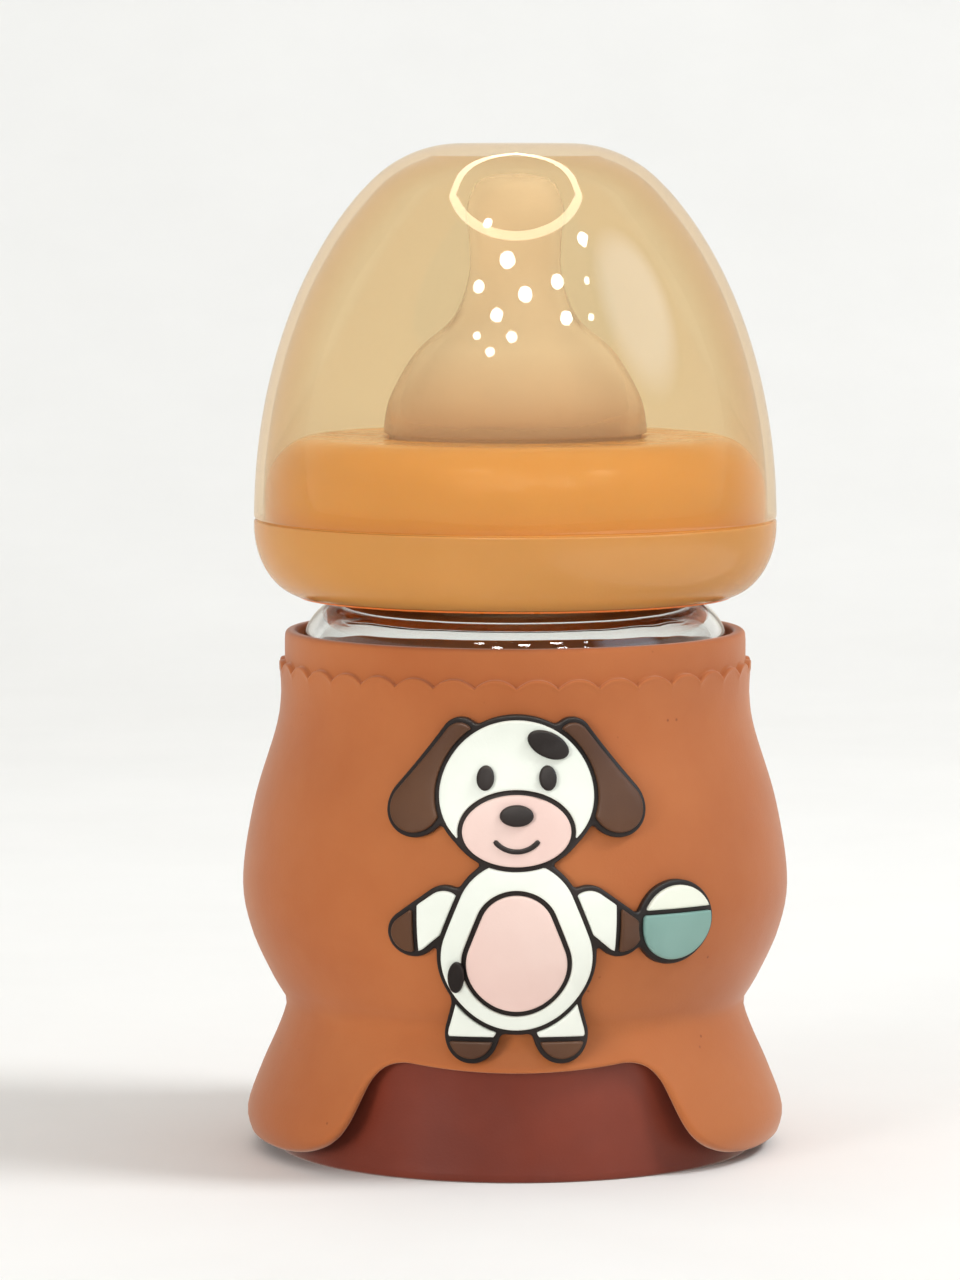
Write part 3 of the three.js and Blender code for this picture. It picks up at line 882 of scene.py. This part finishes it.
HEAD = oval(0, 57, 11, 9.8)
MUZZLE = oval(0, 51.4, 7.4, 5)
NOSE = oval(0, 53.6, 2.3, 1.5)
MOUTH = smile(0, 52.2, 3.6, 0.7, 50)
EAR = bar((8.6, 64), (14.4, 54.6), 2.4, 3.7)
EYE = oval(4.4, 58.8, 1.25, 1.75)
HEAD_SPOT = oval(4.6, 63.4, 3.2, 1.8, -24)
BODY = bar((0, 39.4), (0, 32.6), 7.8, 10.2)
BELLY = bar((0, 37.6), (0, 32), 4.8, 6.8)
SIDE_SPOT = oval(-8.2, 30.4, 1.1, 2.4, -8)
ARM = bar((9.6, 40.4), (14.2, 36.6), 2.5, 2.7)
CUFF_X = 13.2
LEG = bar((5.6, 25), (6.8, 21.6), 3.4)
CUFF_Z = 21.4
BALL = oval(22.5, 37.6, 5.4, 5.4)
BALL_LINE_Z = 39  # where the ball's two colours meet


def badge_piece(kind, shape, area, layer, material, slot):
    """One piece of the badge. layer holds how far its back and its front stand off the badge's back."""
    piece = raised("puppy_" + kind, shape, area, *layer)
    place(piece, "sleeve", material, "badge_" + kind)


def add_badge():
    black = moulded("badge_black", colour_of("2E2624"), colour_of("1E1918"), 0.5, coat=0.12)
    white = moulded("badge_white", colour_of("EBEEE4"), colour_of("DDE1D6"), 0.46, coat=0.12)
    pink = moulded("badge_pink", colour_of("E8CCC2"), colour_of("DFBDB3"), 0.46, coat=0.12)
    brown = moulded("badge_brown", colour_of("624029"), colour_of("4E3121"), 0.5, coat=0.12)
    cream = moulded("badge_cream", colour_of("EFF1E4"), colour_of("E2E5D5"), 0.46, coat=0.12)
    teal = moulded("badge_teal", colour_of("89AEA5"), colour_of("769B92"), 0.46, coat=0.12)

    inlay = (PLATE_FRONT - SEAT, INLAY_FRONT)
    detail = (INLAY_FRONT - SEAT, DETAIL_FRONT)
    chin = (MUZZLE, HEAD)

    parts = [HEAD, MUZZLE, BODY, BALL]
    pairs = [EAR, ARM, LEG]
    outline = merged(*[grown(part, RIM) for part in [*parts, *pairs, *map(mirrored, pairs)]])
    plate_area = (-21, 30, 15.5, 71)
    badge_piece("plate", outline, plate_area, (None, PLATE_FRONT), black, "badge_black")

    lower_ball = both(BALL, below(BALL_LINE_Z))
    upper_ball = both(BALL, above(BALL_LINE_Z + LINE))
    middle = {
        "head": (without(HEAD, MUZZLE), (-12, 12, 46, 68), inlay, white, "badge_white"),
        "head_spot": (HEAD_SPOT, (0, 9.5, 60, 67), detail, black, "badge_black"),
        "muzzle": (MUZZLE, (-9, 9, 45, 58), inlay, pink, "badge_pink"),
        "nose": (NOSE, (-4, 4, 51, 56), detail, black, "badge_black"),
        "mouth": (MOUTH, (-5, 5, 46, 52), (detail[0], INLAY_FRONT + 0.3, 0.2), black, "badge_black"),
        "body": (without(BODY, *chin, BELLY), (-11.5, 11.5, 21, 48), inlay, white, "badge_white"),
        "belly": (without(BELLY, *chin), (-8, 8, 24, 44), inlay, pink, "badge_pink"),
        "side_spot": (both(SIDE_SPOT, without(BODY)), (-11, -6, 27, 34), detail, black, "badge_black"),
        "ball_lower": (lower_ball, (16, 29, 31, 40), inlay, teal, "badge_teal"),
        "ball_upper": (upper_ball, (16, 29, 38, 44), inlay, cream, "badge_cream"),
    }
    for kind, piece in middle.items():
        badge_piece(kind, *piece)

    hand_cut = {"left": (), "right": (BALL,)}
    for side in ("left", "right"):
        turn = mirrored if side == "left" else (lambda shape: shape)
        reach = lambda x0, x1, z0, z1: (-x1, -x0, z0, z1) if side == "left" else (x0, x1, z0, z1)
        sleeve_cut = both(without(ARM, BODY), lambda p, q: p - CUFF_X)
        paw = without(both(ARM, right_of(CUFF_X + LINE)), *hand_cut[side])
        leg = both(without(LEG, BODY), lambda p, q: CUFF_Z - q)
        foot = both(LEG, below(CUFF_Z - LINE))
        paired = {
            "ear": (without(EAR, HEAD), (5, 20, 49, 68), inlay, brown, "badge_brown"),
            "eye": (EYE, (2, 7, 56, 62), detail, black, "badge_black"),
            "arm": (sleeve_cut, (6, 18, 32, 45), inlay, white, "badge_white"),
            "hand_paw": (paw, (12, 19, 32, 42), inlay, brown, "badge_brown"),
            "leg": (leg, (1, 11.5, 19, 30), inlay, white, "badge_white"),
            "foot_paw": (foot, (1, 11.5, 16, 21), inlay, brown, "badge_brown"),
        }
        for kind, (shape, area, layer, material, slot) in paired.items():
            badge_piece(f"{kind}_{side}", turn(shape), reach(*area), layer, material, slot)


# ---------------------------------------------------------------- stage and lamps

ROOM_HALF = 3.0
CEILING = 1.4
RING_AT = (0.005, 0.034, CEILING)
WINDOW_AT = (1.02, -0.3, 0.86)
WINDOW_RADIUS = 0.5
LIT_FLOOR_AT = (0.35, -0.17, 0.0006)  # just above the paper
DISC_POINTS = 96
DISC_HOLE = 0.001  # the hole of a disc that looks whole


def paper():
    """Pale matte studio paper with a very faint fibre mottling."""
    material, tree, shader, where = start_material("paper", {"IOR": 1.4, "Specular IOR Level": 0.25})
    cloud = noise(tree, where, 9, 4, 0.6)
    tint = ramp(tree, cloud, (0.3, colour_of("F1F1EF")), (0.7, colour_of("F5F5F3")))
    tree.links.new(tint, shader.inputs["Base Color"])
    gloss = ramp(tree, noise(tree, where, 40, 3), (0.3, 0.6), (0.7, 0.72))
    tree.links.new(gloss, shader.inputs["Roughness"])
    bump(tree, shader, noise(tree, where, 700, 3), 0.2, 0.00005)
    return material


def add_sweep():
    """Floor and backdrop in one sheet of paper that curves up behind the bottle."""
    bend, back, height = 0.9, 1.5, 2.6
    line = [(-ROOM_HALF, 0)]
    for turn in np.radians(np.arange(0, 91, 5)):
        line.append((back - bend + bend * math.sin(turn), bend - bend * math.cos(turn)))
    line.append((back, height))
    points = []
    for x in (-ROOM_HALF, ROOM_HALF):
        points += [(x / MM, y / MM, z / MM) for y, z in line]
    count = len(line)
    faces = [(i, i + 1, i + 1 + count, i + count) for i in range(count - 1)]
    sweep = new_object("sweep", points, faces)
    sweep.data.materials.append(paper())
    sweep.visible_glossy = False  # gloss mirrors the room of add_room instead


def lamp_material(name, colour, strength, fades=False):
    """A lamp's glowing face. If it fades, the light dies away towards the window's edge."""
    material = bpy.data.materials.new(name)
    material.use_nodes = True
    tree = material.node_tree
    tree.nodes.remove(tree.nodes["Principled BSDF"])
    glow = add_node(tree, "ShaderNodeEmission", {"Color": colour, "Strength": strength})
    if fades:
        where = add_node(tree, "ShaderNodeTexCoord", {}).outputs["Object"]
        away = add_node(tree, "ShaderNodeVectorMath", {0: where}, operation="LENGTH").outputs["Value"]
        inward = {
            "Value": away,
            "From Min": WINDOW_RADIUS,
            "From Max": WINDOW_RADIUS / 2,
            "To Max": strength,
        }
        faded = add_node(tree, "ShaderNodeMapRange", inward, interpolation_type="SMOOTHSTEP")
        tree.links.new(faded.outputs["Result"], glow.inputs["Strength"])
    tree.links.new(glow.outputs[0], tree.nodes["Material Output"].inputs["Surface"])
    return material


def disc(name, place_at, radius, hole, material, tail=None):
    """A round or ring-shaped lamp face, seen only in reflections.

    A tail draws its back half out to a point, that many radii away. The dome mirrors that as an oval.
    """
    around = np.linspace(0, 2 * math.pi, DISC_POINTS, endpoint=False)
    across, along = np.cos(around), np.sin(around)
    if tail:
        across = np.where(along > 0, np.sign(across) * (1 - along) ** 0.9, across)
        along = np.where(along > 0, along * tail, along * 1.1)
    outline = np.stack([across, along, np.zeros(DISC_POINTS)], axis=1)
    lamp = skinned(name, np.array([outline * hole, outline * radius]) / MM, closed=False)
    lamp.location = place_at
    lamp.data.materials.append(material)
    lamp.visible_camera = False
    lamp.visible_diffuse = False
    lamp.visible_transmission = False
    lamp.visible_shadow = False
    return lamp


CEILING_SPOTS = [  # x, y and width in metres
    (-0.29, -0.46, 0.10),
    (-0.10, -0.86, 0.18),
    (-0.49, -1.08, 0.15),
    (0.54, -1.01, 0.17),
    (0.13, -1.23, 0.19),
    (-0.29, -1.47, 0.19),
    (0.78, -1.40, 0.20),
    (0.75, -0.43, 0.15),
    (-0.07, -1.80, 0.18),
    (-0.48, -2.01, 0.17),
    (1.16, -1.22, 0.10),
    (0.93, -0.83, 0.09),
    (-0.66, -1.70, 0.13),
]


def add_ceiling():
    spot = lamp_material("spot_glow", (1, 0.98, 0.95, 1), 30)
    for number, (x, y, width) in enumerate(CEILING_SPOTS):
        disc(f"ceiling_spot_{number}", (x, y, CEILING), width / 2, DISC_HOLE, spot)
    ring = lamp_material("ring_glow", (1, 0.87, 0.62, 1), 10)
    disc("ceiling_ring", RING_AT, 0.64, 0.555, ring, tail=2.02)


def add_panels():
    """A pale window and the lit floor, both to the right and both seen only in reflections."""
    daylight = lamp_material("window_light", (0.65, 0.84, 1, 1), 3.2, fades=True)
    window = disc("window", WINDOW_AT, WINDOW_RADIUS, DISC_HOLE, daylight)
    window.rotation_euler = Vector(WINDOW_AT).to_track_quat("Z", "Y").to_euler()
    bounced = lamp_material("floor_light", (1, 0.93, 0.84, 1), 1.2)
    disc("lit_floor", LIT_FLOOR_AT, 0.3, DISC_HOLE, bounced)


def area_lamp(name, place_at, aim, size, power, colour):
    data = bpy.data.lights.new(name, "AREA")
    data.shape = "DISK"
    data.size = size
    data.energy = power
    data.color = colour
    lamp = bpy.data.objects.new(name, data)
    lamp.location = place_at
    lamp.rotation_euler = (Vector(aim) - Vector(place_at)).to_track_quat("-Z", "Y").to_euler()
    lamp.visible_transmission = False
    lamp.visible_glossy = False
    bpy.context.scene.collection.objects.link(lamp)


def add_lamps():
    area_lamp("key", (0.95, -0.2, 1.15), (0, 0, 0.05), 0.45, 11.8, (0.98, 0.99, 1))
    area_lamp("fill", (-1.0, -1.2, 0.32), (0, 0, 0.08), 0.6, 11.5, (1, 1, 0.99))
    area_lamp("low_right", (0.9, -1.0, 0.16), (0, 0, 0.04), 0.3, 1.2, (1, 0.98, 0.96))
    area_lamp("backdrop_lamp", (0, 0.25, 0.9), (0, 1.3, 0.1), 0.8, 1.6, (1, 1, 1))


def add_room():
    """Even light from all round.

    Gloss mirrors a warm room, dim in front and bright behind. Through clear pieces it is near white.
    """
    world = bpy.data.worlds.new("room")
    bpy.context.scene.world = world
    world.use_nodes = True
    tree = world.node_tree
    even = tree.nodes["Background"]
    even.inputs["Color"].default_value = (1, 1, 0.99, 1)
    even.inputs["Strength"].default_value = 0.54
    direction = add_node(tree, "ShaderNodeTexCoord", {}).outputs["Generated"]
    behind = add_node(tree, "ShaderNodeSeparateXYZ", {"Vector": direction}).outputs["Y"]
    room_colour = ramp(tree, behind, (0.05, (0.24, 0.2, 0.17, 1)), (0.8, (0.8, 0.72, 0.62, 1)))
    warm = add_node(tree, "ShaderNodeBackground", {"Color": room_colour, "Strength": 1})
    white = add_node(tree, "ShaderNodeBackground", {"Color": (1, 1, 0.99, 1), "Strength": 0.88})
    path = add_node(tree, "ShaderNodeLightPath", {})
    glossy = {0: path.outputs["Is Glossy Ray"], 1: even.outputs[0], 2: warm.outputs[0]}
    seen = add_node(tree, "ShaderNodeMixShader", glossy).outputs[0]
    through = {0: path.outputs["Is Transmission Ray"], 1: seen, 2: white.outputs[0]}
    mix = add_node(tree, "ShaderNodeMixShader", through)
    tree.links.new(mix.outputs[0], tree.nodes["World Output"].inputs["Surface"])


# ---------------------------------------------------------------- the object


def add_bottle():
    terracotta = moulded(
        "terracotta_silicone",
        colour_of("B46A3B"),
        colour_of("AB6033"),
        0.66,
        sheen=0.4,
        subsurface=0.06,
        specular=0.3,
        specks=colour_of("8A4A2A"),
    )
    red_brown = moulded(
        "red_brown_silicone",
        colour_of("7E3523"),
        colour_of("6E2C1D"),
        0.38,
        sheen=0.4,
        specular=0.6,
    )
    # Painted light: the collar's colour is painted lighter above the seat of the cap.
    orange = moulded(
        "orange_plastic",
        colour_of("C78C4D"),
        colour_of("C18748"),
        0.17,
        subsurface=0.12,
        specular=0.4,
        painted_light_above_seat=COLLAR_PAINTED_LIGHT,
    )
    # Painted light: the thread ring, in shade under the collar, is painted a lighter, redder orange than
    # the collar, standing in for the light seen there through the glass.
    painted_light_orange = moulded(
        "painted_light_orange_plastic",
        colour_of("F07C34"),
        colour_of("E8722C"),
        0.3,
        subsurface=0.3,
    )

    place(dome_cap(), "cap", amber_plastic(), "dome_cap")
    place(collar_shell(), "collar", orange, "collar_shell")
    place(collar_ring(), "collar", painted_light_orange, "collar_thread_ring")
    place(teat(), "teat", teat_silicone(), "silicone_teat")
    place(glass_bottle(), "bottle", clear_glass(), "glass_bottle")
    place(sleeve(), "sleeve", terracotta, "silicone_sleeve")
    place(suction_base(), "sleeve", red_brown, "suction_base")


add_bottle()
add_badge()
add_sweep()
add_ceiling()
add_panels()
add_lamps()
add_room()
bpy.context.view_layer.update()
